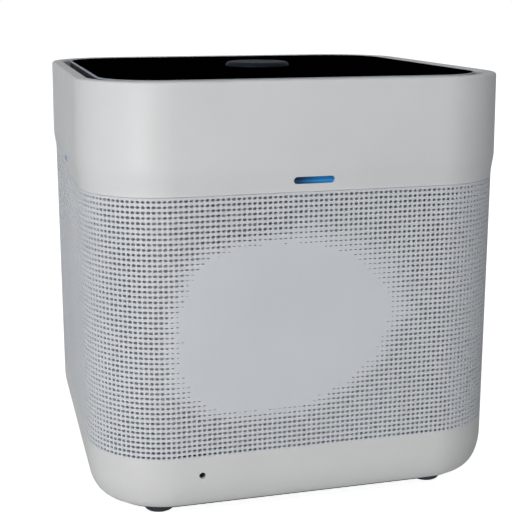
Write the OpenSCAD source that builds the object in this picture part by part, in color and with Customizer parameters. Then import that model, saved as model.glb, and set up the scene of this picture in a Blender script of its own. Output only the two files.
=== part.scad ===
// Cube-shaped air purifier: a perforated lower housing that holds the filter, and a
// lift-off head with the fan, the electronics, the top plate and its control button.
// Millimetres. The origin is on the floor under the middle of the body, +Z is up and
// the front faces -Y.

/* [Body] */
// Width of the body at the rim
body_w = 260; // [230:1:320]
// Depth of the body at the rim
body_d = 260; // [230:1:320]
// Radius of the upright corners at the rim
corner_r = 50; // [44:1:56]
// Height of the lower housing, from its bottom edge to the seam
lower_h = 188.5; // [160:0.5:230]
// Height of the upper band, from the seam to the rim
band_h = 64; // [58:0.5:80]
// Wall of the lower housing
lower_wall = 2.4; // [1.8:0.1:3]
// Wall of the upper band
band_wall = 2.6; // [2:0.1:3.2]
// How far the band stands proud of the lower housing
band_proud = 1.4; // [1:0.1:2.4]
// How far the band's sides lean in from their foot to the rim
band_lean = 0.6; // [0:0.1:2]
// Height of the soft shoulder under the band
shoulder_h = 14; // [8:0.5:18]
// How far the lower housing's bottom edge tucks in
tuck_in = 9; // [7:0.5:14]
// Height of that tucked-in edge
tuck_h = 21; // [16:0.5:30]

/* [Base] */
// Height of a rubber foot under the base plate
foot_h = 8; // [5:0.5:12]
// Radius of a foot where it meets the base plate
foot_r = 10; // [7:0.5:11]
// Distance from the middle to a foot, along the width
foot_x = 88; // [70:1:90]
// Distance from the middle to a foot, front to back
foot_y = 98; // [80:1:100]
// Thickness of the base plate
plate_t = 2; // [1.6:0.1:4]
// Thickness of the lower housing's floor
floor_t = 2.5; // [2:0.1:4]

/* [Grille] */
// Height from the lower housing's bottom edge to its lowest vents
grille_low = 33; // [28:1:40]
// Plain strip between the highest vents and the seam
grille_top_gap = 2.4; // [2:0.1:6]
// Width of one vent in a grille panel
vent_w = 9.4; // [6:0.1:11]
// Height of one vent in a grille panel
vent_h = 4.4; // [3:0.1:5.5]
// Height from one row of vents to the next, half the spacing along a row
vent_row = 7.4; // [6:0.1:9]
// Clearance round a grille panel
panel_gap = 0.15; // [0.1:0.05:0.3]

/* [Filter] */
// Gap between the filter's end caps and the housing's flat walls
filter_gap = 2.4; // [1.5:0.1:8]
// How far the fleece lies inside the end caps' edge
cap_lip = 1.6; // [1:0.1:3]
// Radius of the clear space inside the filter
core_r = 64; // [60:0.5:68]
// Height of the end caps' skirts
cap_skirt = 11; // [6:1:20]
// Thickness of an end cap
cap_t = 4; // [3:0.5:6]
// Number of pleats
pleats = 64; // [40:1:90]

/* [Fan] */
// Radius of the impeller
impeller_r = 85; // [76:0.5:88]
// Height of the impeller
impeller_h = 34; // [28:0.5:36]
// Radius of the air inlet at its throat
inlet_r = 56; // [50:0.5:58]
// Number of impeller blades
blades = 11; // [7:1:15]
// Thickness of a blade
blade_t = 1.6; // [1.2:0.1:2.4]
// Radius of the motor's steel rotor cup
rotor_r = 27.5; // [24:0.5:30]
// Radius of the motor shaft
shaft_r = 2.5; // [2:0.25:3]
// Spacing of the inlet guard's bars
bar_pitch = 11; // [9:0.5:14]

/* [Top] */
// Width of the rim round the outlet slot
rim_w = 8; // [6:0.1:10]
// Width of the outlet slot
slot_w = 4.8; // [4.4:0.1:8]
// Width of the pale trim round the top plate
trim_w = 1.3; // [1:0.1:4]
// Thickness of the top plate
glass_t = 3; // [2:0.1:4]
// How far the top plate lies under the rim
glass_drop = 0; // [0:0.1:2]
// Radius of the control button
button_r = 21.3; // [15:0.1:25]
// How far the control button stands above the top plate
button_up = 2.8; // [2:0.1:4]
// Running clearance round the control button
button_gap = 0.3; // [0.2:0.05:0.5]

/* [Lights and sockets] */
// Length of a light bar
bar_len = 24.6; // [18:0.1:30]
// Height of a light bar
bar_h = 4.2; // [3:0.1:5]
// Height of the light bars' middle above the seam
bar_up = 6.9; // [6.5:0.1:12]
// Radius of the dust sensor's port in the lower housing
port_r = 2; // [1.5:0.1:2.5]
// Distance of the port from the middle of the front, to the left
port_x = 67; // [62:1:72]
// Height of the port above the lower housing's bottom edge
port_up = 21.5; // [20:0.5:26]

/* [Hidden] */
$fn = 96;

// Levels
shell_z = foot_h + plate_t;
floor_z = shell_z + floor_t;
seam_z = shell_z + lower_h;
rim_z = seam_z + band_h;
grille_z0 = shell_z + grille_low;
grille_z1 = seam_z - grille_top_gap;
grille_h = grille_z1 - grille_z0;
glass_z = rim_z - glass_drop;
bar_z = seam_z + bar_up;

// Offsets outward from the rim's outline
band_u = band_lean;
lower_u = band_u - band_proud;
lower_in_u = lower_u - lower_wall;
slot_u = -rim_w;
frame_u = slot_u - slot_w;
glass_u = frame_u - trim_w;

// Flat part of each side
flat_w = body_w - 2 * corner_r;
flat_d = body_d - 2 * corner_r;

// Fan and head levels
fit_gap = 0.3;
deck_t = 2.6;
deck_z = seam_z + deck_t;
lip_h = 4.5;
impeller_z = deck_z + 4;
shroud_t = 2;
hub_drop = 22;
bracket_z = impeller_z + impeller_h + 2.5;
bracket_t = 3;
ring_z = bracket_z + bracket_t;
ring_t = 2;
post_at = [body_w / 2 - 32, body_d / 2 - 32];
post_r = 5;
screw_r = 1.5;
screw_gap = 0.1;
board_t = 1.6;

// Filter levels
cap_r = min(body_w, body_d) / 2 + lower_in_u - filter_gap;
fleece_r = cap_r - cap_lip;
fleece_t = 1.2;
gasket_t = 5;
filter_z0 = shell_z + tuck_h * 0.74;
filter_z1 = seam_z - 0.3;
gasket_r = max(core_r + 10, inlet_r + 12);
media_z0 = filter_z0 + cap_t;
media_z1 = filter_z1 - gasket_t - cap_t;

// ---------------------------------------------------------------- shared shapes

// A rectangle with round corners, u outward from the rim's outline
module outline(u) {
    r = corner_r + u;
    for (x = [-1, 1])
        for (y = [-1, 1])
            translate([x * flat_w / 2, y * flat_d / 2]) circle(r);
    square([flat_w + 2 * r, flat_d], center = true);
    square([flat_w, flat_d + 2 * r], center = true);
}

// A plate of that outline
module slab(u, z, t) {
    translate([0, 0, z]) linear_extrude(t) outline(u);
}

// Runs a profile round the body. The profile's x is the offset outward from the rim's
// outline, and its y is the height.
module around() {
    for (i = [0:3]) {
        across = i % 2 == 0 ? flat_w : flat_d;
        along = i % 2 == 0 ? flat_d : flat_w;
        rotate(90 * i) {
            translate([across / 2, along / 2, 0])
                rotate_extrude(angle = 90) translate([corner_r, 0]) children();
            translate([across / 2 + corner_r, along / 2, 0])
                rotate([90, 0, 0]) linear_extrude(along) children();
        }
    }
}

// A ring or tube about the Z axis
module tube(r_out, r_in, z, t) {
    translate([0, 0, z]) difference() {
        cylinder(r = r_out, h = t);
        translate([0, 0, -1]) cylinder(r = r_in, h = t + 2);
    }
}

// Places its children on all four corners of a rectangle
module at_corners(x, y) {
    for (i = [-1, 1])
        for (j = [-1, 1])
            translate([i * x, j * y, 0]) children();
}

// A long hole or lens with round ends, standing in the XZ plane and running along +Y
module lozenge(length, height, depth) {
    rotate([-90, 0, 0]) linear_extrude(depth) {
        square([length - height, height], center = true);
        for (side = [-1, 1]) translate([side * (length - height) / 2, 0]) circle(d = height);
    }
}

// Turns what is drawn for the front side to another side: 0 front, 1 right, 2 rear, 3 left
module on_side(side) {
    rotate(90 * side) translate([0, -(side % 2 == 0 ? body_d : body_w) / 2, 0]) children();
}

// A pan-head screw, its shank pointing down from the origin
module screw(r, length, head_r, head_h) {
    difference() {
        union() {
            translate([0, 0, -length]) cylinder(r = r, h = length);
            cylinder(r1 = head_r, r2 = head_r * 0.8, h = head_h);
        }
        for (a = [0, 90])
            rotate(a) translate([-head_r * 0.55, -0.35, head_h * 0.45]) cube([head_r * 1.1, 0.7, head_h]);
    }
}

// ---------------------------------------------------------------- lower housing

// Offset of the tucked-in bottom edge at angle a: 0 is the bottom, 90 the upright wall
function tuck(a, wall) = [lower_u - wall - (tuck_in - wall) * (1 - sin(a)),
    shell_z + wall + (tuck_h - wall) * (1 - cos(a))];
tuck_steps = 8;

module lower_profile() {
    outer = [for (i = [0:tuck_steps]) tuck(90 * i / tuck_steps, 0)];
    inner = [for (i = [tuck_steps:-1:0]) tuck(90 * i / tuck_steps, lower_wall)];
    polygon(concat(outer, [[lower_u, seam_z], [lower_in_u, seam_z]], inner,
        [[lower_u - tuck_in - 1, shell_z + lower_wall], [lower_u - tuck_in - 1, shell_z]]));
}

base_screw_at = [foot_x - 26, foot_y - 6];
boss_r = 4;
boss_h = 9;
plug_r = 4;

module lower_housing() {
    color("whitesmoke") difference() {
        union() {
            around() lower_profile();
            slab(lower_u - tuck_in, shell_z, floor_t);
        }
        for (side = [0:3]) {
            width = side % 2 == 0 ? flat_w : flat_d;
            on_side(side) translate([-width / 2, -5, grille_z0]) cube([width, 5 - lower_in_u + 4, grille_h]);
        }
        translate([-port_x, -body_d / 2 - 5, shell_z + port_up])
            rotate([-90, 0, 0]) cylinder(r = port_r, h = 20, $fn = 32);
        at_corners(foot_x, foot_y)
            translate([0, 0, shell_z - 1]) cylinder(r = plug_r + screw_gap, h = floor_t + 2);
        at_corners(base_screw_at.x, base_screw_at.y)
            translate([0, 0, shell_z - 1]) cylinder(r = screw_r + screw_gap, h = floor_t + 2, $fn = 32);
    }
}

// One vent, a flat oval
vent = [for (i = [0:15]) [vent_w / 2 * cos(22.5 * i), vent_h / 2 * sin(22.5 * i)]];

// One perforated side, whose rows of vents are staggered by half their spacing
module grille_panel(side) {
    width = (side % 2 == 0 ? flat_w : flat_d) - 2 * panel_gap;
    height = grille_h - 2 * panel_gap;
    rows = floor((height - vent_h - 3) / vent_row);
    spaces = floor((width - vent_w - 4) / (2 * vent_row));
    first_z = (height - rows * vent_row) / 2;
    color("whitesmoke") on_side(side)
        translate([0, -lower_in_u, grille_z0 + panel_gap]) rotate([90, 0, 0])
            linear_extrude(lower_wall) difference() {
                translate([-width / 2, 0]) square([width, height]);
                for (row = [0:rows]) {
                    shift = row % 2;
                    for (i = [0:spaces - shift])
                        translate([(2 * i + shift - spaces) * vent_row, first_z + row * vent_row])
                            polygon(vent);
                }
            }
}

module base_plate() {
    color("dimgray") difference() {
        slab(lower_u - tuck_in - 2, foot_h, plate_t);
        at_corners(foot_x, foot_y)
            translate([0, 0, foot_h - 1]) cylinder(r = plug_r + screw_gap, h = plate_t + 2);
        at_corners(base_screw_at.x, base_screw_at.y)
            translate([0, 0, foot_h - 1]) cylinder(r = screw_r + screw_gap, h = plate_t + 2, $fn = 32);
    }
}

// A rubber foot with its plug through the base plate and the floor
module foot(x, y) {
    edge = 1.2;
    color([0.22, 0.24, 0.27]) translate([x * foot_x, y * foot_y, 0]) rotate_extrude()
        polygon([[0, 0], [foot_r * 0.92 - edge, 0], [foot_r * 0.92, edge], [foot_r, foot_h], [plug_r, foot_h],
            [plug_r, floor_z + 0.4], [0, floor_z + 0.4]]);
}

module base_screws() {
    color("silver") at_corners(base_screw_at.x, base_screw_at.y)
        translate([0, 0, foot_h]) rotate([180, 0, 0]) screw(screw_r, floor_z - foot_h, 3, 1.8);
}

// Dust sensor on two legs in the corner beside the filter, its nozzle behind the port
module dust_sensor() {
    box = [26, 10, 13];
    front = -body_d / 2 - lower_in_u + 2;
    port_z = shell_z + port_up;
    color([0.12, 0.12, 0.13]) translate([-port_x, front, 0]) difference() {
        union() {
            translate([-box.x / 2, 0, port_z - 5]) cube(box);
            translate([0, -1.6, port_z]) rotate([-90, 0, 0]) cylinder(r = 3.4, h = 3);
            for (x = [-9, 9])
                translate([x, box.y - 2, floor_z]) cylinder(r = 2, h = port_z - floor_z);
        }
        translate([0, -3, port_z]) rotate([-90, 0, 0]) cylinder(r = 1.2, h = 9, $fn = 32);
    }
}

// Eight blocks in a ring on the floor, which the filter stands on
module filter_seat() {
    height = filter_z0 - fit_gap - floor_z;
    color("gainsboro") for (i = [0:7])
        rotate(45 * i + 22.5) translate([core_r + 17, -12, floor_z]) cube([3, 24, height]);
}

// ---------------------------------------------------------------- filter

core_ribs = 24;
rib_w = core_r * 0.13;
pleat_in = core_r + 3;
pleat_out = fleece_r - fleece_t - 0.4;
pleat_t = 1.1;

// A closed zigzag: out along the pleats on one face, and back along them on the other
function zigzag(offset) = [for (i = [0:2 * pleats - 1])
    let (r = (i % 2 == 0 ? pleat_in : pleat_out - pleat_t) + offset, a = 180 * i / pleats)
    [r * cos(a), r * sin(a)]];

module filter_media() {
    color("ivory") translate([0, 0, media_z0]) linear_extrude(media_z1 - media_z0) difference() {
        polygon(zigzag(pleat_t));
        polygon(zigzag(0));
    }
}

module filter_fleece() {
    color("white") tube(fleece_r, fleece_r - fleece_t, media_z0, media_z1 - media_z0);
}

// Cage of upright ribs between the end caps, inside the pleats
module filter_core() {
    height = media_z1 - media_z0;
    color([0.2, 0.2, 0.21]) for (i = [0:core_ribs - 1])
        rotate(360 / core_ribs * i) translate([core_r + 0.5, -rib_w / 2, media_z0]) cube([2, rib_w, height]);
}

// End cap with a skirt over the fleece, its opening of radius r_in
module end_cap(r_in) {
    skirt_z = cap_t + cap_skirt;
    skirt_r = fleece_r + 0.2;
    rotate_extrude()
        polygon([[r_in, 0], [cap_r, 0], [cap_r, skirt_z],
            [skirt_r, skirt_z], [skirt_r, cap_t], [r_in, cap_t]]);
}

module filter_cap_top() {
    color("slategray") translate([0, 0, filter_z1 - gasket_t]) mirror([0, 0, 1]) end_cap(core_r);
}

module filter_cap_bottom() {
    color("slategray") translate([0, 0, filter_z0]) end_cap(0);
}

module filter_gasket() {
    color("black") tube(gasket_r + 8, gasket_r, filter_z1 - gasket_t, gasket_t);
}

// A flat pull loop, folded down on the top cap
module filter_strap() {
    strap_w = 20;
    strap_t = 0.8;
    strap_z = filter_z1 - gasket_t;
    color("steelblue") for (side = [-1, 1]) {
        translate([side > 0 ? gasket_r + 11 : -cap_r + 8, -strap_w / 2, strap_z])
            cube([cap_r - gasket_r - 19, strap_w, strap_t]);
    }
}

// ---------------------------------------------------------------- head: shell and deck

shoulder_z = seam_z + 1.5;
shoulder_steps = 6;
edge_r = 1.6;
edge_steps = 4;
rim_depth = 10;

// Offset of the soft shoulder at t from 0, its foot, to 1, where the band is widest
function shoulder(t) = [lower_u + band_proud * t * t * (3 - 2 * t), shoulder_z + shoulder_h * t];
// A round edge about [u, z], from angle a to a + 90
function edge(u, z, a) = [for (i = [0:edge_steps])
    [u + edge_r * cos(a + 90 * i / edge_steps), z + edge_r * sin(a + 90 * i / edge_steps)]];

module band_profile() {
    in_u = lower_u - band_wall;
    polygon(concat(
        [[in_u, seam_z], [lower_u, seam_z]],
        [for (i = [0:shoulder_steps]) shoulder(i / shoulder_steps)],
        edge(-edge_r, rim_z - edge_r, 0),
        edge(slot_u + edge_r, rim_z - edge_r, 90),
        [[slot_u, rim_z - rim_depth], [band_u - band_wall - 1, rim_z - rim_depth - 5],
            [band_u - band_wall - 0.4, shoulder_z + shoulder_h], [in_u, shoulder_z]]));
}

module light_slot(grow) {
    translate([0, -2, bar_z]) lozenge(bar_len + grow, bar_h + grow, 10);
}

inlet_w = 21;
inlet_hh = 12;
inlet_z = seam_z + 30;

module upper_shell() {
    color("whitesmoke") difference() {
        around() band_profile();
        for (side = [0, 1, 3]) on_side(side) light_slot(0);
        on_side(2) translate([-inlet_w / 2, -3, inlet_z - inlet_hh / 2]) cube([inlet_w, 10, inlet_hh]);
    }
}

deck_hole_r = inlet_r + 6;

module fan_deck() {
    deck_u = lower_u - band_wall;
    lip_u = lower_in_u - 0.5;
    color("gainsboro") difference() {
        union() {
            slab(deck_u - 5, seam_z, deck_t);
            around() polygon([
                [lip_u - 2, seam_z - lip_h], [lip_u - 0.6, seam_z - lip_h], [lip_u, seam_z - lip_h + 1.5],
                [lip_u, seam_z], [deck_u, seam_z], [deck_u, deck_z],
                [deck_u - 6, deck_z], [deck_u - 6, seam_z],
                [lip_u - 2, seam_z]]);
        }
        translate([0, 0, seam_z - 1]) cylinder(r = deck_hole_r, h = deck_t + 2);
    }
}

// Bell mouth: a flange on the deck and a throat that reaches into the impeller's eye
module inlet_ring() {
    throat_t = 1.6;
    steps = 6;
    rise = impeller_z + shroud_t - seam_z - deck_t + 1;
    bell = deck_hole_r - inlet_r - 0.2;
    inner = [for (i = [0:steps]) let (a = 90 * i / steps)
        [inlet_r + bell * (1 - sin(a)), seam_z + 0.2 + (deck_t - 0.2) * (1 - cos(a))]];
    color("gainsboro") rotate_extrude() polygon(concat(inner,
        [[inlet_r, deck_z + rise], [inlet_r + throat_t, deck_z + rise], [inlet_r + throat_t, deck_z + 1.2],
            [deck_hole_r + 5, deck_z + 1.2], [deck_hole_r + 5, deck_z], [deck_hole_r - 0.2, deck_z]]));
}

// Straight bars under the deck's opening, each a separate solid
module inlet_guard() {
    reach = deck_hole_r + 3.5;
    count = floor((deck_hole_r - 2) / bar_pitch);
    color("gainsboro") for (i = [-count:count]) {
        y = i * bar_pitch;
        half = sqrt(reach * reach - y * y);
        translate([-half, y - 0.8, seam_z - 2.2]) cube([2 * half, 1.6, 2.2]);
    }
}

module deck_posts() {
    color("gainsboro") at_corners(post_at.x, post_at.y) difference() {
        translate([0, 0, deck_z]) cylinder(r = post_r, h = bracket_z - deck_z);
        translate([0, 0, bracket_z - 18]) cylinder(r = screw_r + screw_gap, h = 20, $fn = 32);
    }
}

// ---------------------------------------------------------------- head: motor

bearing_r = 6;
bearing_t = 4;
tube_r = 8;
tube_z0 = bracket_z - hub_drop;
stator_t = 13;
stator_z = bracket_z - 19;
stator_r = rotor_r - 4.4;

module motor_bracket() {
    arm_w = 10;
    reach = norm(post_at);
    turn = atan2(post_at.y, post_at.x);
    color("silver") difference() {
        translate([0, 0, bracket_z]) linear_extrude(bracket_t) {
            circle(r = 34);
            for (a = [turn, 180 - turn])
                rotate(a) square([2 * reach, arm_w], center = true);
            for (i = [-1, 1])
                for (j = [-1, 1]) translate([i * post_at.x, j * post_at.y]) circle(r = arm_w / 2 + 1.5);
        }
        at_corners(post_at.x, post_at.y)
            translate([0, 0, bracket_z - 1]) cylinder(r = screw_r + screw_gap, h = bracket_t + 2, $fn = 32);
        translate([0, 0, bracket_z - 1]) cylinder(r = shaft_r + 1, h = bracket_t + 2);
    }
}

module bearing_tube() {
    color("goldenrod") tube(tube_r, bearing_r, tube_z0, bracket_z - tube_z0);
}

module motor_bearings() {
    color("silver") for (z = [tube_z0 + 0.5, bracket_z - bearing_t - 0.5])
        tube(bearing_r, shaft_r + 0.05, z, bearing_t);
}

// Laminated core: a ring with nine teeth, each with a wide shoe
module motor_stator() {
    teeth = 9;
    color("dimgray") translate([0, 0, stator_z]) linear_extrude(stator_t) difference() {
        union() {
            circle(r = tube_r + 4);
            for (i = [0:teeth - 1]) rotate(360 / teeth * i) {
                translate([tube_r, -1.8]) square([stator_r - tube_r - 2, 3.6]);
                intersection() {
                    difference() {
                        circle(r = stator_r);
                        circle(r = stator_r - 2.4);
                    }
                    polygon([[0, 0], [40, -10.5], [40, 10.5]]);
                }
            }
        }
        circle(r = tube_r);
    }
}

// One copper winding round each tooth
module motor_coils() {
    teeth = 9;
    length = stator_r - tube_r - 7.6;
    color("chocolate") for (i = [0:teeth - 1]) rotate(360 / teeth * i)
        translate([tube_r + 4.6, 0, stator_z]) difference() {
            translate([0, -3.2, -1.4]) cube([length, 6.4, stator_t + 2.8]);
            translate([-1, -1.8, 0]) cube([length + 2, 3.6, stator_t]);
        }
}

module bracket_screws() {
    color("silver") at_corners(post_at.x, post_at.y)
        translate([0, 0, ring_z + ring_t]) screw(screw_r, 20, 3, 2);
}

// ---------------------------------------------------------------- head: outlet, plate and boards

// Flat ring under the slot that carries the plate's frame, cut into short vents
module outlet_grille() {
    ring_u = band_u - band_wall - 2.4;
    pitch = 12;
    color([0.1, 0.11, 0.12]) difference() {
        slab(ring_u, ring_z, ring_t);
        translate([0, 0, -1]) slab(-30, ring_z, ring_t + 2);
        for (side = [0:3]) {
            count = floor((side % 2 == 0 ? flat_w : flat_d) / 2 / pitch - 0.5);
            on_side(side) for (i = [-count:count])
                translate([i * pitch - 4, -slot_u - 0.5, ring_z - 1]) cube([8, slot_w + 1, ring_t + 2]);
        }
        at_corners(post_at.x, post_at.y)
            translate([0, 0, ring_z - 1]) cylinder(r = screw_r + screw_gap, h = ring_t + 2, $fn = 32);
    }
}

ledge_w = 6;

// Frame round the top plate: the inner wall of the slot, with a thin trim and a ledge for the plate
module plate_frame() {
    foot_z = ring_z + ring_t;
    edge_w = trim_w * 0.4;
    color([0.1, 0.11, 0.12]) around() polygon([
        [frame_u - 2.4, foot_z], [frame_u, foot_z], [frame_u, glass_z - edge_w],
        [frame_u - edge_w, glass_z], [glass_u, glass_z], [glass_u, glass_z - glass_t],
        [glass_u - ledge_w, glass_z - glass_t], [glass_u - ledge_w, glass_z - glass_t - 2],
        [frame_u - 2.4, glass_z - glass_t - 2]]);
}

button_hole_r = button_r + button_gap;
board_z = glass_z - glass_t - 8;
board_half = 30;
board_boss = board_half - 4;

module top_plate() {
    color([0.02, 0.02, 0.025]) {
        difference() {
            slab(glass_u - 0.1, glass_z - glass_t, glass_t);
            translate([0, 0, glass_z - glass_t - 1]) cylinder(r = button_hole_r, h = glass_t + 2);
        }
        at_corners(board_boss, board_boss)
            translate([0, 0, board_z + board_t]) cylinder(r = 3, h = glass_z - glass_t - board_z - board_t);
    }
}

module control_board() {
    color("darkgreen") translate([-board_half, -board_half, board_z])
        cube([2 * board_half, 2 * board_half, board_t]);
}

button_travel = 0.8;
button_z = glass_z - glass_t - fit_gap - 1.2;

module button_switch() {
    top = button_z - button_travel - 0.1;
    body_h = top - board_z - board_t - 0.8;
    color([0.15, 0.15, 0.15]) translate([0, 0, board_z + board_t]) {
        translate([-3, -3, 0]) cube([6, 6, body_h]);
        cylinder(r = 1.6, h = body_h + 0.8, $fn = 32);
    }
}

// Round cap with a domed edge, a shallow dish in its top and a stop flange under the plate
module control_button() {
    dish = 0.5;
    dome_w = 3.2;
    dish_r = button_r - dome_w;
    steps = 5;
    flange_r = button_hole_r + 1.4;
    color([0.16, 0.18, 0.22]) rotate_extrude() polygon(concat(
        [[0, button_z], [flange_r, button_z], [flange_r, button_z + 1.2], [button_r, button_z + 1.2]],
        [for (i = [0:steps]) let (a = 90 * i / steps)
            [dish_r + dome_w * cos(a), glass_z + 0.2 + (button_up - 0.2) * sin(a)]],
        [for (i = [1:steps]) let (t = 1 - i / steps)
            [dish_r * t, glass_z + button_up - dish * (1 - t * t)]]));
}

main_board_w = 120;
main_board_d = 44;
main_board_y = 64;
main_board_z = ring_z + 4;

// Supply board, its two feet standing on the bracket's rear arms
module main_board() {
    foot_at = main_board_y - main_board_d / 2 + 4;
    color("darkgreen") {
        translate([-main_board_w / 2, main_board_y - main_board_d / 2, main_board_z])
            cube([main_board_w, main_board_d, board_t]);
        for (x = [-1, 1])
            translate([x * foot_at * post_at.x / post_at.y, foot_at, ring_z])
                cylinder(r = 3, h = main_board_z - ring_z);
    }
}

// Transformer, capacitors and connectors of the supply
module board_parts() {
    z = main_board_z + board_t;
    room = glass_z - glass_t - z - 1;
    color([0.16, 0.16, 0.17]) {
        translate([-48, main_board_y - 9, z]) cube([22, 18, room]);
        translate([38, main_board_y - 12, z]) cube([12, 24, room * 0.7]);
        for (x = [-16, -6, 4]) translate([x, main_board_y + 8, z]) cylinder(r = 4, h = room * 0.9, $fn = 48);
        translate([-14, main_board_y - 16, z]) cube([36, 8, room * 0.6]);
    }
}

lens_u = lower_u - 0.5;
lens_t = 3.4;
flange_h = min(bar_h + 4, 2 * (bar_up - deck_t) - 0.4);

// Blue lens set back in its slot, with a flange behind the wall
module light_bar(side) {
    color("royalblue") on_side(side) {
        translate([0, -lens_u, bar_z]) lozenge(bar_len - 0.1, bar_h - 0.1, lens_t);
        translate([0, -lens_u + lens_t, bar_z]) lozenge(bar_len + 6, flange_h, 1.6);
    }
}

module light_boards() {
    color("darkgreen") for (side = [0, 1, 3]) on_side(side)
        translate([-bar_len * 0.75, -lens_u + lens_t + 2, deck_z])
            cube([bar_len * 1.5, 1.6, bar_z + flange_h / 2 - deck_z]);
}

inlet_depth = 18;
pin_half = 4.3;

// Two-pin mains socket with a figure-eight mouth
module mains_inlet() {
    mouth_y = -band_u + 1.4;
    color([0.08, 0.08, 0.09]) on_side(2) difference() {
        translate([-inlet_w / 2 + 0.2, mouth_y, inlet_z - inlet_hh / 2 + 0.2])
            cube([inlet_w - 0.4, inlet_depth, inlet_hh - 0.4]);
        translate([0, mouth_y - 1, inlet_z]) {
            for (x = [-1, 1]) translate([x * pin_half, 0, 0]) rotate([-90, 0, 0]) cylinder(r = 4, h = 13);
            translate([-pin_half, 0, -2.6]) cube([2 * pin_half, 13, 5.2]);
        }
    }
}

module inlet_pins() {
    color("silver") on_side(2) for (x = [-1, 1])
        translate([x * pin_half, -band_u + 4.4, inlet_z])
            rotate([-90, 0, 0]) cylinder(r = 1.2, h = 9, $fn = 32);
}

// ---------------------------------------------------------------- rotor

hub_r = rotor_r + 2.2;
hub_z = bracket_z - hub_drop - 3;
back_z = impeller_z + impeller_h - shroud_t;

// A backward-curved blade's line, seen from above and offset to either side
blade_r0 = inlet_r + 5;
blade_r1 = impeller_r - 1.5;
function blade_line(offset) = [for (i = [0:6]) let (t = i / 6, r = blade_r0 + (blade_r1 - blade_r0) * t,
    a = -40 * t + offset / r * 57.3) [r * cos(a), r * sin(a)]];

module impeller() {
    back_line = blade_line(-blade_t);
    color("lightgray") {
        tube(impeller_r, inlet_r + 3, impeller_z, shroud_t);
        difference() {
            union() {
                translate([0, 0, back_z]) cylinder(r = impeller_r, h = shroud_t);
                translate([0, 0, hub_z]) cylinder(r = hub_r, h = back_z + shroud_t - hub_z);
            }
            translate([0, 0, hub_z + 2]) cylinder(r = rotor_r, h = impeller_h);
            translate([0, 0, hub_z - 1]) cylinder(r = shaft_r, h = 5);
        }
        for (i = [0:blades - 1])
            rotate(360 / blades * i) translate([0, 0, impeller_z + shroud_t / 2])
                linear_extrude(impeller_h - shroud_t)
                    polygon(concat(blade_line(blade_t), [for (k = [len(back_line) - 1:-1:0]) back_line[k]]));
    }
}

cup_z = hub_z + 2;
cup_h = bracket_z - 2 - cup_z;

module rotor_cup() {
    color("silver") difference() {
        translate([0, 0, cup_z]) cylinder(r = rotor_r, h = cup_h);
        translate([0, 0, cup_z + 1]) cylinder(r = rotor_r - 1.4, h = cup_h);
        translate([0, 0, cup_z - 1]) cylinder(r = shaft_r, h = 5);
    }
}

module magnet_ring() {
    color([0.25, 0.25, 0.26]) tube(rotor_r - 1.4, rotor_r - 3.8, cup_z + 3, cup_h - 4);
}

module motor_shaft() {
    color("lightgray") translate([0, 0, hub_z]) cylinder(r = shaft_r, h = bracket_z + 1 - hub_z);
}

// ---------------------------------------------------------------- nodes

lower_housing();
grille_panel(0);  // grille_front
grille_panel(1);  // grille_right
grille_panel(2);  // grille_rear
grille_panel(3);  // grille_left
base_plate();
foot(-1, -1);  // foot_front_left
foot(1, -1);  // foot_front_right
foot(-1, 1);  // foot_rear_left
foot(1, 1);  // foot_rear_right
base_screws();
dust_sensor();
filter_seat();
filter_media();
filter_fleece();
filter_core();
filter_cap_top();
filter_cap_bottom();
filter_gasket();
filter_strap();
upper_shell();
fan_deck();
inlet_ring();
inlet_guard();
deck_posts();
motor_bracket();
bearing_tube();
motor_bearings();
motor_stator();
motor_coils();
bracket_screws();
outlet_grille();
plate_frame();
top_plate();
control_board();
button_switch();
main_board();
board_parts();
light_bar(0);  // light_bar_front
light_bar(1);  // light_bar_right
light_bar(3);  // light_bar_left
light_boards();
mains_inlet();
inlet_pins();
impeller();
rotor_cup();
magnet_ring();
motor_shaft();
control_button();
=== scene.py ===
import math

import bmesh
import bpy
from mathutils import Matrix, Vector, noise


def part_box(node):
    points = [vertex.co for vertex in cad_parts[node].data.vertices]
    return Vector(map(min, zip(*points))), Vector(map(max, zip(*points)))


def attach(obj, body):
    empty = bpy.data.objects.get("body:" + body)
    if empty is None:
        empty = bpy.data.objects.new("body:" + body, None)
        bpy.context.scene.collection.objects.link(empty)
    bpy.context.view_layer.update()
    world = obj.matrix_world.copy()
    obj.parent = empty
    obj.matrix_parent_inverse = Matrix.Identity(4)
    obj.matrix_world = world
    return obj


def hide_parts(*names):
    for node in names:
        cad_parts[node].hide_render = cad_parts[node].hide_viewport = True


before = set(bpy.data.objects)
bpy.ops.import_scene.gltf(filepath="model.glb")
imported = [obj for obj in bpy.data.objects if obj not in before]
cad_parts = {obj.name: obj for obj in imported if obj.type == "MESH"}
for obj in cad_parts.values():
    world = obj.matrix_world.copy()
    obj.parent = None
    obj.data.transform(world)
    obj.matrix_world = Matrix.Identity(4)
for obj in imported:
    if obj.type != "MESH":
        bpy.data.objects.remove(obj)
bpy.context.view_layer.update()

MM = 0.001
TAU = 2 * math.pi


def box_mm(node):
    lo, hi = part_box(node)
    return [v / MM for v in lo], [v / MM for v in hi]


# ------------------------------------------------------------------ sizes, in millimetres
LEAN = 0.6           # how far the band leans out from the rim to its foot
HALF = box_mm("upper_shell")[1][0] - LEAN
CORNER = 50.0        # corner radius at the rim's outline
FLAT = HALF - CORNER
RIM_Z = box_mm("upper_shell")[1][2]
SEAM_Z = box_mm("upper_shell")[0][2]
SHELL_Z = box_mm("lower_housing")[0][2]
LOWER_U = box_mm("lower_housing")[1][0] - HALF
SLOT_U = -8.0        # rim's inner edge
FRAME_U = box_mm("plate_frame")[1][0] - HALF
PLATE_U = box_mm("top_plate")[1][0] - HALF
PLATE_Z = box_mm("plate_frame")[1][2]
LIGHT_Z = SEAM_Z + 6.9
LIGHT_CUT = (24.6, 4.2)      # length and height of the opening for a light bar
LIGHT_LENS = (24.4, 4.0)     # and of the lens in it


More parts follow.
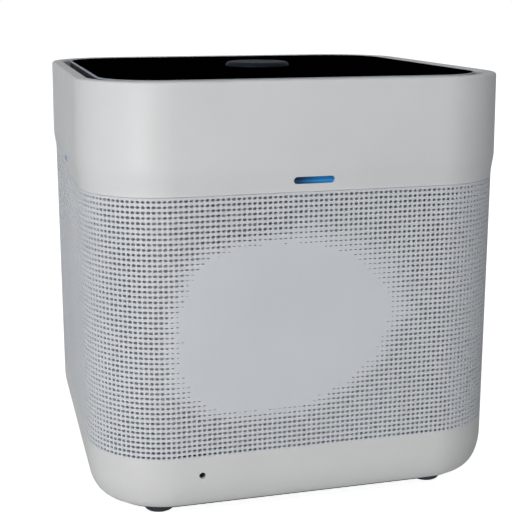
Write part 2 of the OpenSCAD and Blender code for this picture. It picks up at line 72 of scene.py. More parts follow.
# ------------------------------------------------------------------ mesh helpers
def add_mesh(name, verts, faces, body, mat, replaces=(), slot=None, sharp=32):
    me = bpy.data.meshes.new(name)
    me.from_pydata([(x * MM, y * MM, z * MM) for x, y, z in verts], [], faces)
    me.update()
    me.shade_smooth()
    me.set_sharp_from_angle(angle=math.radians(sharp))
    ob = bpy.data.objects.new(name, me)
    bpy.context.collection.objects.link(ob)
    ob.data.materials.append(mat)
    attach(ob, body)
    if replaces:
        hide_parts(*replaces)
    return ob


def outward(ob, sharp=32):
    """Turns a closed mesh's faces outward."""
    bm = bmesh.new()
    bm.from_mesh(ob.data)
    bmesh.ops.recalc_face_normals(bm, faces=bm.faces)
    bm.to_mesh(ob.data)
    bm.free()
    ob.data.shade_smooth()
    ob.data.set_sharp_from_angle(angle=math.radians(sharp))
    return ob


def outline(corner_steps=28, flat_x=()):
    """Stations round the body as (centre x, centre y, normal x, normal y)."""
    out = []
    xs = sorted({-FLAT, FLAT, *flat_x})
    for k in range(4):
        c, s = ((1, 0), (0, 1), (-1, 0), (0, -1))[k]
        for x in xs:
            out.append((c * x + s * FLAT, s * x - c * FLAT, s, -c))
        for i in range(1, corner_steps):
            a = math.radians(-90 + 90 * i / corner_steps)
            nx, ny = math.cos(a), math.sin(a)
            out.append((c * FLAT + s * FLAT, s * FLAT - c * FLAT,
                        c * nx - s * ny, s * nx + c * ny))
    return out


def station(st, u, z):
    r = CORNER + u
    return (st[0] + r * st[2], st[1] + r * st[3], z)


def ring_faces(n, m, close=True):
    """Quads of a closed strip of n stations with m points each."""
    faces = []
    for i in range(n):
        a, b = i * m, (i + 1) % n * m
        for j in range(m if close else m - 1):
            k = (j + 1) % m
            faces.append((a + j, b + j, b + k, a + k))
    return faces


def sweep(name, profile, body, mat, stations=None, **more):
    """Runs a closed profile of (u, z) round the body."""
    stations = stations or outline()
    verts = [station(st, u, z) for st in stations for u, z in profile]
    return outward(add_mesh(name, verts, ring_faces(len(stations), len(profile)), body, mat, **more))


def revolve(name, profile, body, mat, at=(0, 0), steps=96, **more):
    """Turns a closed profile of (r, z) about a vertical axis, welding the points on the axis."""
    verts = [(at[0] + r * math.cos(TAU * i / steps), at[1] + r * math.sin(TAU * i / steps), z)
             for i in range(steps) for r, z in profile]
    ob = add_mesh(name, verts, ring_faces(steps, len(profile)), body, mat, **more)
    bm = bmesh.new()
    bm.from_mesh(ob.data)
    bmesh.ops.remove_doubles(bm, verts=bm.verts, dist=1e-7)
    bmesh.ops.dissolve_degenerate(bm, edges=bm.edges, dist=1e-8)
    bm.to_mesh(ob.data)
    bm.free()
    return outward(ob)


def arc(cx, cy, r, a0, a1, steps=8):
    return [(cx + r * math.cos(math.radians(a0 + (a1 - a0) * i / steps)),
             cy + r * math.sin(math.radians(a0 + (a1 - a0) * i / steps))) for i in range(steps + 1)]


def cutter(name, verts, faces):
    me = bpy.data.meshes.new(name)
    me.from_pydata([(x * MM, y * MM, z * MM) for x, y, z in verts], [], faces)
    ob = bpy.data.objects.new(name, me)
    bpy.context.collection.objects.link(ob)
    bm = bmesh.new()
    bm.from_mesh(me)
    bmesh.ops.recalc_face_normals(bm, faces=bm.faces)
    bm.to_mesh(me)
    bm.free()
    return ob


def prism(name, shape, z0, z1, place):
    """A cutter: a flat shape of (a, b) drawn from depth z0 to z1, put in place by a function."""
    n = len(shape)
    verts = [place(a, b, z0) for a, b in shape] + [place(a, b, z1) for a, b in shape]
    faces = [tuple(range(n)), tuple(range(2 * n - 1, n - 1, -1))]
    faces += [(i, (i + 1) % n, n + (i + 1) % n, n + i) for i in range(n)]
    return cutter(name, verts, faces)


def cut(ob, cutters, sharp=32):
    """Cuts the cutters out of a mesh and removes them."""
    for c in cutters:
        mod = ob.modifiers.new("cut", "BOOLEAN")
        mod.operation, mod.object, mod.solver = "DIFFERENCE", c, "EXACT"
    dg = bpy.context.evaluated_depsgraph_get()
    me = bpy.data.meshes.new_from_object(ob.evaluated_get(dg))
    ob.modifiers.clear()
    ob.data = me
    for c in cutters:
        bpy.data.objects.remove(c)
    me.shade_smooth()
    me.set_sharp_from_angle(angle=math.radians(sharp))
    return ob


def lozenge(length, height, steps=12):
    r = height / 2
    x = length / 2 - r
    return arc(x, 0, r, -90, 90, steps) + arc(-x, 0, r, 90, 270, steps)


def round_rect(w, h, r, steps=6):
    x, y = w / 2 - r, h / 2 - r
    return (arc(x, y, r, 0, 90, steps) + arc(-x, y, r, 90, 180, steps)
            + arc(-x, -y, r, 180, 270, steps) + arc(x, -y, r, 270, 360, steps))


def facing(side, z_mid, half=HALF):
    """Puts a shape drawn facing outward on a side: 0 front, 1 right, 2 rear, 3 left."""
    c, s = ((1, 0), (0, 1), (-1, 0), (0, -1))[side]

    def place(a, b, depth):
        x, y = a, -half + depth
        return (c * x - s * y, s * x + c * y, z_mid + b)
    return place


# ------------------------------------------------------------------ materials
class Mat:
    """A procedural material built on one Principled shader, in the body's own coordinates."""

    def __init__(self, name):
        self.mat = bpy.data.materials.new(name)
        self.mat.use_nodes = True
        self.nt = self.mat.node_tree
        self.bsdf = self.nt.nodes["Principled BSDF"]
        self.coord = self.add("ShaderNodeTexCoord").outputs["Object"]

    def add(self, kind, **props):
        node = self.nt.nodes.new(kind)
        for k, v in props.items():
            setattr(node, k, v)
        return node

    def link(self, a, b):
        self.nt.links.new(a, b)

    def set(self, **sockets):
        for k, v in sockets.items():
            self.bsdf.inputs[k.replace("_", " ")].default_value = v
        return self

    def noise(self, size_mm, detail=2.0, rough=0.5, stretch=(1, 1, 1)):
        tex = self.add("ShaderNodeTexNoise")
        tex.inputs["Scale"].default_value = 1 / (size_mm * MM)
        tex.inputs["Detail"].default_value = detail
        tex.inputs["Roughness"].default_value = rough
        mapping = self.add("ShaderNodeMapping")
        mapping.inputs["Scale"].default_value = stretch
        self.link(self.coord, mapping.inputs["Vector"])
        self.link(mapping.outputs["Vector"], tex.inputs["Vector"])
        return tex.outputs["Fac"]

    def wave(self, size_mm, direction="Z", distortion=0.0):
        tex = self.add("ShaderNodeTexWave", wave_type="BANDS", bands_direction=direction)
        tex.inputs["Scale"].default_value = TAU / (20 * size_mm * MM)
        tex.inputs["Distortion"].default_value = distortion
        self.link(self.coord, tex.inputs["Vector"])
        return tex.outputs["Fac"]

    def math(self, op, a, b=None, clamp=False):
        node = self.add("ShaderNodeMath", operation=op, use_clamp=clamp)
        for i, v in enumerate((a, b)):
            if v is None:
                continue
            if isinstance(v, (int, float)):
                node.inputs[i].default_value = v
            else:
                self.link(v, node.inputs[i])
        return node.outputs[0]

    def remap(self, value, a, b, lo=0.3, hi=0.7):
        node = self.add("ShaderNodeMapRange")
        for k, v in (("From Min", lo), ("From Max", hi), ("To Min", a), ("To Max", b)):
            node.inputs[k].default_value = v
        self.link(value, node.inputs["Value"])
        return node.outputs["Result"]

    def mix(self, fac, a, b):
        node = self.add("ShaderNodeMix", data_type="RGBA")
        self.link(fac, node.inputs["Factor"])
        for i, v in ((6, a), (7, b)):
            if isinstance(v, tuple):
                node.inputs[i].default_value = (*v[:3], 1)
            else:
                self.link(v, node.inputs[i])
        return node.outputs[2]

    def colour(self, socket):
        self.link(socket, self.bsdf.inputs["Base Color"])
        return self

    def rough(self, socket):
        self.link(socket, self.bsdf.inputs["Roughness"])
        return self

    def bump(self, height, strength, depth_mm, below=None):
        node = self.add("ShaderNodeBump")
        node.inputs["Strength"].default_value = strength
        node.inputs["Distance"].default_value = depth_mm * MM
        self.link(height, node.inputs["Height"])
        if below is not None:
            self.link(below, node.inputs["Normal"])
        self.link(node.outputs["Normal"], self.bsdf.inputs["Normal"])
        return node.outputs["Normal"]


def shade(c, k):
    return tuple(min(1.0, v * k) for v in c)


def plastic(name, colour, rough=0.45, vary=0.03, grain=0.45, depth=0.02, specular=0.5, coat=0.0):
    m = Mat(name)
    m.set(Specular_IOR_Level=specular, Coat_Weight=coat)
    broad = m.noise(60, 3)
    fine = m.noise(grain, 2)
    m.colour(m.mix(m.remap(broad, 0, 1), shade(colour, 1 - vary), shade(colour, 1 + vary * 0.6)))
    m.rough(m.remap(m.noise(9, 4), rough - 0.05, rough + 0.06))
    low = m.bump(m.noise(28, 2), 0.15, 0.05)
    m.bump(fine, 0.35, depth, below=low)
    return m.mat


def metal(name, colour, rough=0.3, brushed=(1, 1, 30)):
    m = Mat(name)
    m.set(Metallic=1.0)
    lines = m.noise(2.2, 4, 0.6, brushed)
    m.colour(m.mix(m.remap(lines, 0, 1), shade(colour, 0.86), shade(colour, 1.06)))
    m.rough(m.remap(lines, rough - 0.07, rough + 0.1))
    m.bump(lines, 0.25, 0.02)
    return m.mat


def rubber(name, colour):
    m = Mat(name)
    m.set(Specular_IOR_Level=0.35)
    m.colour(m.mix(m.remap(m.noise(6, 4), 0, 1), shade(colour, 0.8), shade(colour, 1.25)))
    m.rough(m.remap(m.noise(1.6, 3), 0.62, 0.8))
    m.bump(m.noise(0.6, 3), 0.4, 0.05)
    return m.mat


def gloss_black(name):
    m = Mat(name)
    m.set(Specular_IOR_Level=0.0, Coat_Weight=0.0)
    m.colour(m.mix(m.remap(m.noise(40, 2), 0, 1), (0.0002, 0.0002, 0.0003), (0.0005, 0.0005, 0.0006)))
    m.rough(m.remap(m.noise(14, 4), 0.06, 0.12))
    m.bump(m.noise(30, 2), 0.1, 0.02)
    return m.mat


def frame_with_painted_edge_highlight(name):
    """Dark frame with a thin pale line painted along its top edge: a painted highlight where the edge catches
    light.
    """
    m = Mat(name)
    m.set(Specular_IOR_Level=0.3)
    split = m.add("ShaderNodeSeparateXYZ")
    m.link(m.coord, split.inputs[0])
    top = m.remap(split.outputs[2], 0, 1, (PLATE_Z - 0.75) * MM, (PLATE_Z - 0.55) * MM)
    dark = m.mix(m.remap(m.noise(12, 3), 0, 1), (0.010, 0.014, 0.026), (0.018, 0.024, 0.04))
    # the pale colour along the top edge is a painted highlight, not a pale trim
    m.colour(m.mix(top, dark, (0.46, 0.50, 0.56)))
    m.rough(m.remap(m.noise(5, 3), 0.4, 0.55))
    m.bump(m.noise(0.5, 2), 0.3, 0.02)
    return m.mat


def board_green(name):
    m = Mat(name)
    m.set(Coat_Weight=0.35, Coat_Roughness=0.15)
    traces = m.math("GREATER_THAN", m.wave(1.1, "X", 3.0), 0.62)
    lines = m.math("MULTIPLY", traces, m.math("GREATER_THAN", m.noise(7, 1), 0.48))
    m.colour(m.mix(lines, (0.008, 0.075, 0.035), (0.02, 0.15, 0.07)))
    m.rough(m.remap(m.noise(3, 3), 0.32, 0.45))
    m.bump(lines, 0.5, 0.03)
    return m.mat


def led_blue(name, axis):
    """Frosted light pipe: navy at one end, brighter towards the other, with a soft painted highlight just below
    its middle.
    """
    m = Mat(name)
    m.set(Coat_Weight=0.1, Coat_Roughness=0.2, Emission_Strength=0.45, Specular_IOR_Level=0.2)
    split = m.add("ShaderNodeSeparateXYZ")
    m.link(m.coord, split.inputs[0])
    along = m.remap(split.outputs[axis], 0.0, 1.0, -0.009, 0.004)
    ends = m.mix(along, (0.002, 0.014, 0.038), (0.010, 0.11, 0.29))
    # a brighter streak just below the lens's middle, stronger towards the bright end: a painted highlight, which
    # glows with the rest
    level = m.math("ABSOLUTE", m.math("SUBTRACT", split.outputs[2], (LIGHT_Z - 0.7) * MM))
    painted_highlight = m.math("MULTIPLY", m.remap(level, 1.0, 0.0, 0.0002, 0.0011), m.remap(along, 0.15, 1.0, 0, 1))
    colour = m.mix(painted_highlight, ends, (0.022, 0.20, 0.48))
    m.colour(colour)
    m.link(colour, m.bsdf.inputs["Emission Color"])
    m.rough(m.remap(m.noise(1.2, 3), 0.25, 0.4))
    m.bump(m.noise(0.5, 2), 0.2, 0.02)
    return m.mat


def fleece(name, colour):
    m = Mat(name)
    m.set(Sheen_Weight=0.4, Sheen_Roughness=0.5, Specular_IOR_Level=0.15)
    fibres = m.noise(1.1, 6, 0.7, (1, 1, 0.35))
    m.colour(m.mix(m.remap(fibres, 0, 1), shade(colour, 0.82), shade(colour, 1.04)))
    m.rough(m.remap(fibres, 0.8, 0.95))
    m.bump(fibres, 0.8, 0.35)
    return m.mat


def webbing(name, colour):
    m = Mat(name)
    m.set(Sheen_Weight=0.3, Sheen_Roughness=0.45, Specular_IOR_Level=0.2)
    warp, weft = m.wave(1.2, "X"), m.wave(1.5, "Y")
    weave = m.math("MAXIMUM", warp, weft)
    # the colour follows the weave: darker where it sinks between the threads, which is painted shade
    m.colour(m.mix(weave, shade(colour, 0.55), shade(colour, 1.15)))
    m.rough(m.remap(weave, 0.9, 0.72, 0, 1))
    m.bump(weave, 0.9, 0.25)
    return m.mat


WHITE = plastic("white_plastic_band", (0.815, 0.818, 0.822), rough=0.42)
WHITE_LOW = plastic("white_plastic_grille", (0.755, 0.778, 0.815), rough=0.5)
WHITE_BASE = plastic("white_plastic_base", (0.805, 0.81, 0.80), rough=0.48)
GREY = plastic("grey_plastic", (0.48, 0.49, 0.50), rough=0.5)
FRAME_PAINTED_EDGE = frame_with_painted_edge_highlight("dark_frame_painted_edge_highlight")
DARK = plastic("dark_plastic", (0.035, 0.04, 0.048), rough=0.48)
CAP = plastic("filter_cap_plastic", (0.60, 0.62, 0.64), rough=0.55)
BUTTON = plastic("button_plastic", (0.013, 0.019, 0.031), rough=0.46, grain=0.3, specular=0.1)
BLACK = gloss_black("gloss_black")
RUBBER = rubber("foot_rubber", (0.045, 0.055, 0.068))
FOAM = rubber("gasket_foam", (0.03, 0.03, 0.032))
STEEL = metal("brushed_steel", (0.60, 0.61, 0.62))
BRASS = metal("turned_brass", (0.62, 0.44, 0.18), 0.28)
COPPER = metal("enamelled_copper", (0.55, 0.19, 0.07), 0.3, (30, 30, 1))
IRON = metal("lamination_iron", (0.16, 0.16, 0.17), 0.45, (1, 1, 14))
FERRITE = plastic("ferrite", (0.03, 0.03, 0.034), rough=0.6, grain=0.25)
BOARD = board_green("circuit_board")
FLEECE = fleece("filter_fleece_white", (0.74, 0.745, 0.75))
PAPER = fleece("filter_paper", (0.72, 0.72, 0.68))
STRAP = webbing("strap_webbing", (0.06, 0.14, 0.30))

CARRIED = {
    "base_plate": DARK, "base_screws": STEEL, "dust_sensor": DARK, "filter_seat": GREY,
    "filter_core": DARK, "filter_cap_top": CAP, "filter_cap_bottom": CAP,
    "fan_deck": GREY, "inlet_ring": GREY, "inlet_guard": GREY, "deck_posts": GREY,
    "motor_bracket": STEEL, "bearing_tube": BRASS, "motor_bearings": STEEL, "motor_stator": IRON,
    "motor_coils": COPPER, "bracket_screws": STEEL, "outlet_grille": DARK, "top_plate": BLACK,
    "control_board": BOARD, "button_switch": DARK, "main_board": BOARD, "board_parts": DARK,
    "light_boards": BOARD, "mains_inlet": DARK, "inlet_pins": STEEL,
    "impeller": GREY, "rotor_cup": STEEL, "magnet_ring": FERRITE, "motor_shaft": STEEL,
}
for node, mat in CARRIED.items():
    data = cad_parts[node].data
    data.materials.clear()
    data.materials.append(mat)


# ------------------------------------------------------------------ camera, lights and floor
def look_at(ob, target):
    back = (ob.location - Vector(target)).normalized()
    ob.rotation_mode = "QUATERNION"
    ob.rotation_quaternion = back.to_track_quat("Z", "Y")


cam = bpy.data.objects.new("camera", bpy.data.cameras.new("camera"))
bpy.context.collection.objects.link(cam)
cam.location = (-0.1869, -0.7130, 0.3079)
look_at(cam, (0, 0, 0.1510))
cam.data.lens, cam.data.sensor_width = 76.3, 36
cam.data.shift_x, cam.data.shift_y = -0.002, -0.056
bpy.context.scene.camera = cam


def area(name, at, target, size, power, colour=(1, 1, 1)):
    light = bpy.data.lights.new(name, "AREA")
    light.shape, light.size, light.energy, light.color = "SQUARE", size, power, colour
    ob = bpy.data.objects.new(name, light)
    bpy.context.collection.objects.link(ob)
    ob.location = at
    look_at(ob, target)
    return ob


area("key", (-1.3, -1.1, 1.1), (0, 0, 0.14), 0.9, 7.7, (1, 0.997, 0.99))
area("low", (-1.0, -1.5, 0.10), (0, 0, 0.10), 0.9, 11.3, (1, 0.997, 0.99))

# Soft surroundings, dimmer on the right
world = bpy.data.worlds.new("studio")
bpy.context.scene.world = world
world.use_nodes = True
wnt = world.node_tree
w_coord = wnt.nodes.new("ShaderNodeTexCoord")
w_split = wnt.nodes.new("ShaderNodeSeparateXYZ")
w_range = wnt.nodes.new("ShaderNodeMapRange")
for socket, value in (("From Min", 0.2), ("From Max", 0.9), ("To Min", 0.34), ("To Max", 0.27)):
    w_range.inputs[socket].default_value = value
wnt.links.new(w_coord.outputs["Generated"], w_split.inputs[0])
wnt.links.new(w_split.outputs[0], w_range.inputs["Value"])
wnt.links.new(w_range.outputs["Result"], wnt.nodes["Background"].inputs["Strength"])
wnt.nodes["Background"].inputs["Color"].default_value = (0.965, 0.985, 1, 1)
bpy.context.scene.view_settings.view_transform = "Standard"


def stage_plane(name, verts, colour, glow):
    """Floor or backdrop that the camera sees and that doesn't light the object."""
    me = bpy.data.meshes.new(name)
    me.from_pydata(verts, [], [(0, 1, 2, 3)])
    ob = bpy.data.objects.new(name, me)
    bpy.context.collection.objects.link(ob)
    m = bpy.data.materials.new(name)
    m.use_nodes = True
    bsdf = m.node_tree.nodes["Principled BSDF"]
    bsdf.inputs["Base Color"].default_value = (colour, colour, colour, 1)
    bsdf.inputs["Roughness"].default_value = 1
    bsdf.inputs["Specular IOR Level"].default_value = 0
    bsdf.inputs["Emission Color"].default_value = (1, 1, 1, 1)
    bsdf.inputs["Emission Strength"].default_value = glow
    me.materials.append(m)
    ob.visible_diffuse = ob.visible_glossy = False
    return ob


stage_plane("floor", [(-6, -6, 0), (6, -6, 0), (6, 6, 0), (-6, 6, 0)], 0.8, 0.9)
for i in range(4):
    c, s = ((1, 0), (0, 1), (-1, 0), (0, -1))[i]
    stage_plane(f"backdrop_{i}", [(c * x - s * 6, s * x + c * 6, z)
                                  for x, z in ((-6, 0), (6, 0), (6, 8), (-6, 8))], 0.0, 1.0)


# ------------------------------------------------------------------ perforated sleeve
WALL = 1.6
ROW = 3.034                # height from row to row
ROWS = 51
LOW_ROW = 44.6
COLS = 312                 # columns of holes round the body
HOLE_W, HOLE_H = 1.22, 0.87    # half width and half height of a hole
HOLE_SIDES = 8
SLEEVE_Z0, SLEEVE_Z1 = LOW_ROW - 0.6 * ROW, SEAM_Z - 0.1
ARC_R = CORNER + LOWER_U
SIDE_LEN = 2 * FLAT + math.pi / 2 * ARC_R
PITCH = 4 * SIDE_LEN / COLS


def around(s, u):
    """The point at distance s along the sleeve from the front's middle, at offset u."""
    k = round(s / SIDE_LEN)
    t = s - k * SIDE_LEN
    x = max(-FLAT, min(FLAT, t))
    a = (t - x) / ARC_R
    px, py = x + (CORNER + u) * math.sin(a), -FLAT - (CORNER + u) * math.cos(a)
    c, s_ = ((1, 0), (0, 1), (-1, 0), (0, -1))[k % 4]
    return c * px - s_ * py, s_ * px + c * py


PATCH_MID = (-15.5, 119.0)     # the plain patch: middle along the front and height
PATCH_HALF = (67.5, 52.5)      # half its width and half its height
PATCH_REACH = 98               # no hole farther than this from the front's middle is affected
MIN_HOLE = 0.1                 # a flatter hole than this is left out


def hole_size(s, z):
    """Half width and height of a hole: the holes flatten out to nothing round a plain patch on the front."""
    grow = 1 + 0.16 * noise.noise(Vector((s * 0.9, z * 0.9, 5.2)))
    if abs(s) > PATCH_REACH:
        return HOLE_W * grow, HOLE_H * grow
    dz = z - PATCH_MID[1]
    dx = s - PATCH_MID[0] - 0.07 * dz
    e = 3.2 if dx < 0 else 1.8 if dz < 0 else 1.9
    q = ((abs(dx) / PATCH_HALF[0]) ** e + (abs(dz) / PATCH_HALF[1]) ** e) ** (1 / e)
    q += 0.045 * noise.noise(Vector((s * 0.06, z * 0.06, 3.1))) + 0.05 * noise.noise(Vector((s, z, 7.7)))
    fade = 0.34 if dx > 0 and dz > 0 else 0.18
    t = max(0.0, min(1.0, (q - 0.93) / fade))
    h = HOLE_H * grow * t ** 0.8
    return (HOLE_W * grow * (0.65 + 0.35 * t), h) if h > MIN_HOLE else (0, 0)


def sleeve_part(name, first, last, **more):
    """A piece of the sleeve, a grid of cells from one column to another with a hole in each."""
    levels = [SLEEVE_Z0] + [LOW_ROW + (j - 0.5) * ROW for j in range(1, ROWS)] + [SLEEVE_Z1]
    flat = [(i * PITCH, z) for i in range(first, last + 1) for z in levels]
    faces = []
    per_side = HOLE_SIDES // 4
    for i in range(first, last):
        for j in range(ROWS):
            a = (i - first) * (ROWS + 1) + j
            cell = [a, a + ROWS + 1, a + ROWS + 2, a + 1]
            s, z = (i + 0.5) * PITCH, LOW_ROW + j * ROW
            rx, rz = hole_size(s, z)
            if rz == 0:
                faces.append(tuple(cell))
                continue
            base = len(flat)
            for k in range(HOLE_SIDES):
                turn = TAU * (k / HOLE_SIDES - 3 / 8)
                flat.append((s + rx * math.cos(turn), z + rz * math.sin(turn)))
            for q in range(4):
                h = [base + (per_side * q + k) % HOLE_SIDES for k in range(per_side + 1)]
                faces += [(cell[q], h[1], h[0]), (cell[q], cell[(q + 1) % 4], h[2], h[1])]
    n = len(flat)
    verts = [(*around(s, LOWER_U), z) for s, z in flat] + [(*around(s, LOWER_U - WALL), z) for s, z in flat]
    edges = {(a, b) for f in faces for a, b in zip(f, f[1:] + f[:1])}
    walls = [(b, a, a + n, b + n) for a, b in sorted(edges) if (b, a) not in edges]
    inner = [tuple(v + n for v in reversed(f)) for f in faces]
    return add_mesh(name, verts, faces + inner + walls, "housing", WHITE_LOW,
                    slot="white_plastic", sharp=40, **more)


quarter = COLS // 4
sleeve_part("sleeve_front_right", 0, quarter, replaces=("grille_right",))
sleeve_part("sleeve_rear_right", quarter, 2 * quarter, replaces=("grille_rear",))
sleeve_part("sleeve_rear_left", 2 * quarter, 3 * quarter, replaces=("grille_left",))
sleeve_part("sleeve_front_left", 3 * quarter - COLS, 0, replaces=("grille_front",))

# ------------------------------------------------------------------ solid base band
TUCK_IN, TUCK_H = 9.0, 21.0
BASE_WALL = 2.2


def tuck(wall, steps=22):
    """The tucked-in bottom edge, from the bottom to the upright wall."""
    out = []
    for i in range(steps + 1):
        a = math.pi / 2 * i / steps
        out.append((LOWER_U - wall - (TUCK_IN - wall) * (1 - math.sin(a)),
                    SHELL_Z + wall + (TUCK_H - wall) * (1 - math.cos(a))))
    return out


PORT_X, PORT_Z, PORT_R = -67.0, SHELL_Z + 21.5, 2.0
port_x = [PORT_X + d for d in (-6, -3.3, -2.3, 2.3, 3.3, 6)]
base_profile = (tuck(0) + [(LOWER_U, SLEEVE_Z0), (LOWER_U - WALL, SLEEVE_Z0)]
                + [(u, z) for u, z in reversed(tuck(BASE_WALL))]
                + [(-40, SHELL_Z + BASE_WALL), (-40, SHELL_Z)])
base = sweep("base_band", base_profile, "housing", WHITE_BASE, outline(32, port_x),
             replaces=("lower_housing",), slot="white_plastic")
port = prism("port_cut", arc(PORT_X, 0, PORT_R, 0, 345, 23), -4, 8, facing(0, PORT_Z))
cut(base, [port])

# ------------------------------------------------------------------ upper shell
SHOULDER_H = 14.0


def shoulder(t):
    return (LOWER_U + (LEAN - LOWER_U) * t * t * (3 - 2 * t), SEAM_Z + 1.5 + SHOULDER_H * t)


EDGE = 1.6
INLET_Z = SEAM_Z + 30
band_profile = ([(LOWER_U - 2.6, SEAM_Z), (LOWER_U - 0.35, SEAM_Z), (LOWER_U, SEAM_Z + 0.35)]
                + [shoulder(i / 16) for i in range(17)]
                + arc(-EDGE, RIM_Z - EDGE, EDGE, 0, 90)
                + arc(SLOT_U + EDGE, RIM_Z - EDGE, EDGE, 90, 180)
                + [(SLOT_U, RIM_Z - 10), (LEAN - 3.6, RIM_Z - 15), (LEAN - 3.0, SEAM_Z + 1.5 + SHOULDER_H),
                   (LOWER_U - 2.6, SEAM_Z + 1.5)])
band_x = [s * d for s in (-1, 1) for d in (9, 10.5, 11.5, 13, 16, 22)]
band = sweep("band_shell", band_profile, "head", WHITE, outline(36, band_x),
             replaces=("upper_shell",), slot="white_plastic")
cuts = [prism(f"light_cut_{k}", lozenge(*LIGHT_CUT), -4, 8, facing(k, LIGHT_Z)) for k in (0, 1, 3)]
cuts.append(prism("inlet_cut", round_rect(21, 12, 1.2), -4, 8, facing(2, INLET_Z)))
cut(band, cuts)

# ------------------------------------------------------------------ light bars
LENS_U = 0.52 - LOWER_U      # depth of a lens's face behind the rim's outline
for side, node, axis in ((0, "light_bar_front", 0), (1, "light_bar_right", 1), (3, "light_bar_left", 1)):
    place = facing(side, LIGHT_Z)
    lens = lozenge(*LIGHT_LENS, 14)
    rings = [(0.86, LENS_U), (0.94, LENS_U + 0.06), (1.0, LENS_U + 0.3), (1.0, LENS_U + 3.4)]
    verts, n = [], len(lens)
    for k, depth in rings:
        verts += [place(a - (1 - k) * math.copysign(2, a), b * k, depth) for a, b in lens]
    verts += [place(a * 1.24, b * 2.0, LENS_U + 3.4) for a, b in lens]
    verts += [place(a * 1.24, b * 2.0, LENS_U + 5.0) for a, b in lens]
    faces = [tuple(range(n)), tuple(range(6 * n - 1, 5 * n - 1, -1))]
    for r in range(5):
        faces += [(r * n + i, r * n + (i + 1) % n, (r + 1) * n + (i + 1) % n, (r + 1) * n + i)
                  for i in range(n)]
    outward(add_mesh(node + "_lens", verts, faces, "head", led_blue(node + "_blue", axis),
                     replaces=(node,), slot="blue_lens"))

# ------------------------------------------------------------------ plate frame, with a painted highlight along its top edge
FRAME_Z = box_mm("plate_frame")[0][2]
frame_profile = ([(FRAME_U - 2.4, FRAME_Z), (FRAME_U, FRAME_Z)]
                 + arc(FRAME_U - 0.5, PLATE_Z - 0.5, 0.5, 0, 90, 5)
                 + [(PLATE_U + 0.2, PLATE_Z), (PLATE_U + 0.1, PLATE_Z - 0.15), (PLATE_U + 0.1, PLATE_Z - 3),
                    (PLATE_U - 5.9, PLATE_Z - 3), (PLATE_U - 5.9, PLATE_Z - 5), (FRAME_U - 2.4, PLATE_Z - 5)])
sweep("plate_trim", frame_profile, "head", FRAME_PAINTED_EDGE, outline(36), replaces=("plate_frame",), slot="dark_plastic")

# ------------------------------------------------------------------ control button
b_lo, b_hi = box_mm("control_button")
BUTTON_R, FLANGE_R = 21.3, b_hi[0]
TOP, DOME_W = b_hi[2], 3.2
dome_h = TOP - PLATE_Z - 0.2
dish_r = BUTTON_R - DOME_W
dome = [(dish_r + DOME_W * math.cos(math.radians(7.5 * i)), TOP - dome_h * (1 - math.sin(math.radians(7.5 * i))))
        for i in range(13)]
dish = [(dish_r * (1 - i / 10), TOP - 0.5 * (1 - (1 - i / 10) ** 2)) for i in range(1, 11)]
button_profile = ([(0, b_lo[2]), (FLANGE_R, b_lo[2]), (FLANGE_R, b_lo[2] + 1.2), (BUTTON_R, b_lo[2] + 1.2)]
                  + dome + dish)
revolve("button_cap", button_profile, "button", BUTTON, replaces=("control_button",), slot="button_grey")

# ------------------------------------------------------------------ rubber feet
for node in ("foot_front_left", "foot_front_right", "foot_rear_left", "foot_rear_right"):
    lo, hi = box_mm(node)
    at = ((lo[0] + hi[0]) / 2, (lo[1] + hi[1]) / 2)
    r, h = (hi[0] - lo[0]) / 2, box_mm("base_plate")[0][2]
    profile = ([(0, 0.5), (r * 0.45, 0.5), (r * 0.5, 0)] + arc(r * 0.92 - 1.4, 1.4, 1.4, -90, -10, 6)
               + [(r * 0.97, h * 0.72), (r - 0.3, h - 0.6), (r - 0.5, h), (4, h), (4, hi[2]), (0, hi[2])])
    revolve(node + "_rubber", profile, "housing", RUBBER, at=at, steps=64, replaces=(node,), slot="rubber")

# ------------------------------------------------------------------ filter
m_lo, m_hi = box_mm("filter_media")
f_lo, f_hi = box_mm("filter_fleece")
FLEECE_R, MEDIA_Z0, MEDIA_Z1 = f_hi[0], f_lo[2], f_hi[2]
PLEATS, PLEAT_IN = 64, 67.0
PLEAT_OUT = m_hi[0]


def pleats():
    """Accordion-folded paper: a closed wall whose folds have round tips."""
    mid, amp = (PLEAT_IN + PLEAT_OUT) / 2, (PLEAT_OUT - PLEAT_IN) / 2 - 0.6
    steps = 14
    line = []
    for i in range(PLEATS * steps):
        t = i / steps % 1.0
        wave = math.asin(math.sin(TAU * t) * 0.985) / math.asin(0.985)
        r = mid + amp * wave + 0.15 * noise.noise(Vector((i * 0.37, 1.0, 2.0)))
        line.append((r, TAU * i / (PLEATS * steps)))
    verts, n = [], len(line)
    for z in (MEDIA_Z0, MEDIA_Z1):
        for off in (-0.35, 0.35):
            for i, (r, a) in enumerate(line):
                r1, a1 = line[(i + 1) % n]
                r0, a0 = line[i - 1]
                d = Vector((r1 * math.cos(a1) - r0 * math.cos(a0), r1 * math.sin(a1) - r0 * math.sin(a0)))
                d.normalize()
                verts.append((r * math.cos(a) + off * d.y, r * math.sin(a) - off * d.x, z))
    faces = []
    for i in range(n):
        k = (i + 1) % n
        faces += [(i, k, n + k, n + i), (2 * n + i, 3 * n + i, 3 * n + k, 2 * n + k),
                  (i, 2 * n + i, 2 * n + k, k), (n + i, n + k, 3 * n + k, 3 * n + i)]
    return outward(add_mesh("filter_pleats", verts, faces, "filter", PAPER, replaces=("filter_media",),
                            slot="paper"))


pleats()


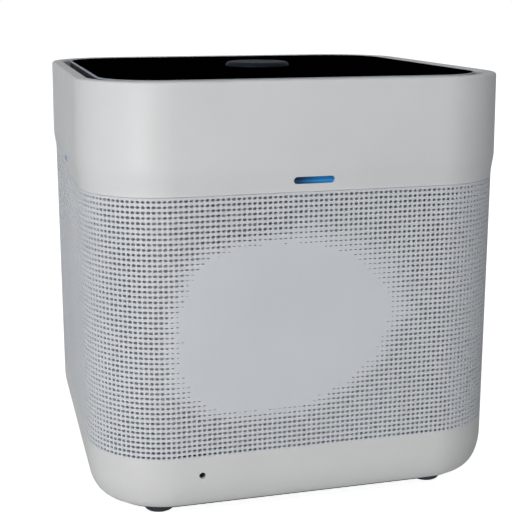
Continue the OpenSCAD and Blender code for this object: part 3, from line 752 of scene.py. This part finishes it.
def fleece_sleeve():
    """Non-woven wrap, slightly puffed between its welded seams."""
    n, levels = 240, 24
    verts = []
    for k, inner in enumerate((False, True)):
        for j in range(levels + 1):
            z = MEDIA_Z0 + (MEDIA_Z1 - MEDIA_Z0) * j / levels
            for i in range(n):
                a = TAU * i / n
                seam = abs(math.sin(a * 4)) ** 0.35
                puff = 0.35 * seam * math.sin(math.pi * j / levels) ** 0.4
                puff += 0.12 * noise.noise(Vector((math.cos(a) * 6, math.sin(a) * 6, z * 0.06)))
                r = FLEECE_R - 0.5 + puff - (0.8 if inner else 0)
                verts.append((r * math.cos(a), r * math.sin(a), z))
    m = n * (levels + 1)
    faces = []
    for j in range(levels):
        for i in range(n):
            a, b = j * n + i, j * n + (i + 1) % n
            faces += [(a, b, b + n, a + n), (m + a, m + a + n, m + b + n, m + b)]
    for i in range(n):
        k = (i + 1) % n
        t = levels * n
        faces += [(i, m + i, m + k, k), (t + i, t + k, m + t + k, m + t + i)]
    return outward(add_mesh("filter_wrap", verts, faces, "filter", FLEECE, replaces=("filter_fleece",),
                            slot="fleece"))


fleece_sleeve()

g_lo, g_hi = box_mm("filter_gasket")
GASKET_W = 8
G_OUT, G_IN = g_hi[0], g_hi[0] - GASKET_W
g_mid, g_w = (G_OUT + G_IN) / 2, (G_OUT - G_IN) / 2
gasket_profile = ([(g_mid + g_w, g_lo[2]), (g_mid + g_w, g_hi[2] - 2)]
                  + arc(g_mid + g_w - 2, g_hi[2] - 2, 2, 0, 90, 6)
                  + [(g_mid + 0.8, g_hi[2]), (g_mid, g_hi[2] - 0.7), (g_mid - 0.8, g_hi[2])]
                  + arc(g_mid - g_w + 2, g_hi[2] - 2, 2, 90, 180, 6) + [(g_mid - g_w, g_lo[2])])
revolve("gasket_ring", gasket_profile, "filter", FOAM, replaces=("filter_gasket",), slot="foam")


def pull_tabs():
    """Two folded webbing tabs on the top cap, humped in the middle."""
    lo, hi = box_mm("filter_strap")
    verts, faces = [], []
    n, m = 28, 10
    x0 = G_OUT + 3.2
    for sgn in (-1, 1):
        start = len(verts)
        for i in range(n + 1):
            t = i / n
            x = x0 + (hi[0] - x0) * t
            lift = 2.6 * math.sin(math.pi * t) ** 1.4
            for top in (0, 1):
                for j in range(m + 1):
                    w = (j / m - 0.5) * (hi[1] - lo[1]) * (1 - 0.05 * math.sin(math.pi * t))
                    verts.append((sgn * x, w, lo[2] + 0.05 + lift + (0.85 if top else 0)))
        k = 2 * (m + 1)
        for i in range(n):
            a, b = start + i * k, start + (i + 1) * k
            for j in range(m):
                faces += [(a + j, a + j + 1, b + j + 1, b + j),
                          (a + m + 1 + j, b + m + 1 + j, b + m + 2 + j, a + m + 2 + j)]
            faces += [(a, b, b + m + 1, a + m + 1), (a + m, a + 2 * m + 1, b + 2 * m + 1, b + m)]
        for a in (start, start + n * k):
            faces += [(a + j, a + j + 1, a + m + 2 + j, a + m + 1 + j) for j in range(m)]
    return outward(add_mesh("strap_tabs", verts, faces, "filter", STRAP, replaces=("filter_strap",),
                            slot="webbing"))


pull_tabs()
